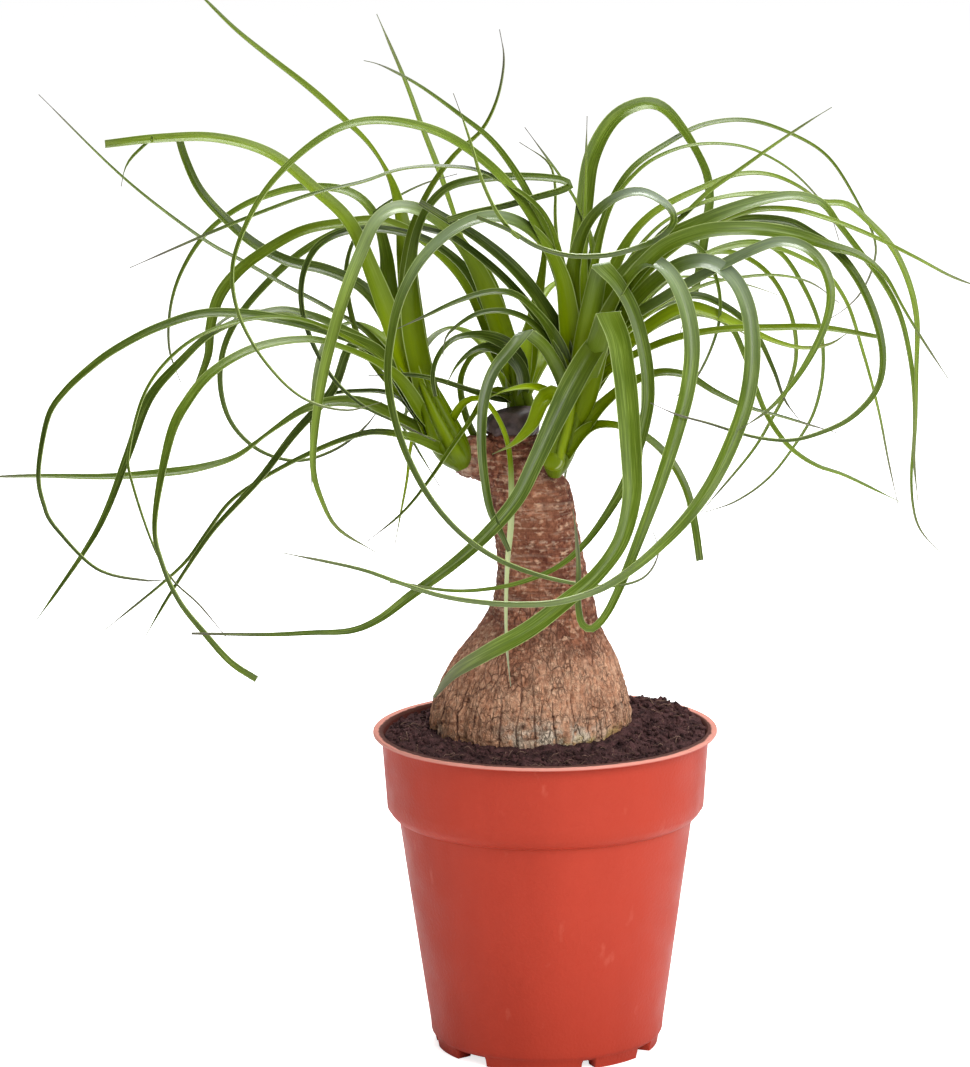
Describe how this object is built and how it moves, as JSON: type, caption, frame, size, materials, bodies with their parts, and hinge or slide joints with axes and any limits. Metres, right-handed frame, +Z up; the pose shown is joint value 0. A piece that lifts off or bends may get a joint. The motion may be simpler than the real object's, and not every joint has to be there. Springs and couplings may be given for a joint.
{
  "type": "potted ponytail palm",
  "caption": "Ponytail palm in a round terracotta-coloured plastic nursery pot: swollen woody base, narrow neck and arching strap leaves from leafy shoots round a sealed cut top.",
  "frame": {"origin": "centre of the pot's underside, on the face of its centre foot", "axes": "+Z up along the pot's axis, -Y towards the viewer of the picture, +X to the viewer's right"},
  "size_m": [0.3697, 0.2948, 0.4011],
  "materials": {
    "pot": "smooth terracotta-red moulded plastic with a paler, pinkish lip edge",
    "soil": "dark moist peat with pale fibres",
    "bark": "cracked corky bark, tan low down and red-brown on the ringed neck",
    "seal": "dark wound wax, dull with a soft sheen",
    "leaf": "fibrous green strap leaf, satin, yellow-green at the sheath and dry grey-brown at the tip"
  },
  "bodies": {
    "root": {"pot": "pot", "soil": "soil", "trunk": "bark", "cut_seal": "seal", "shoot_left": "leaf", "shoot_right": "leaf", "shoot_back": "leaf"}
  },
  "joints": []
}
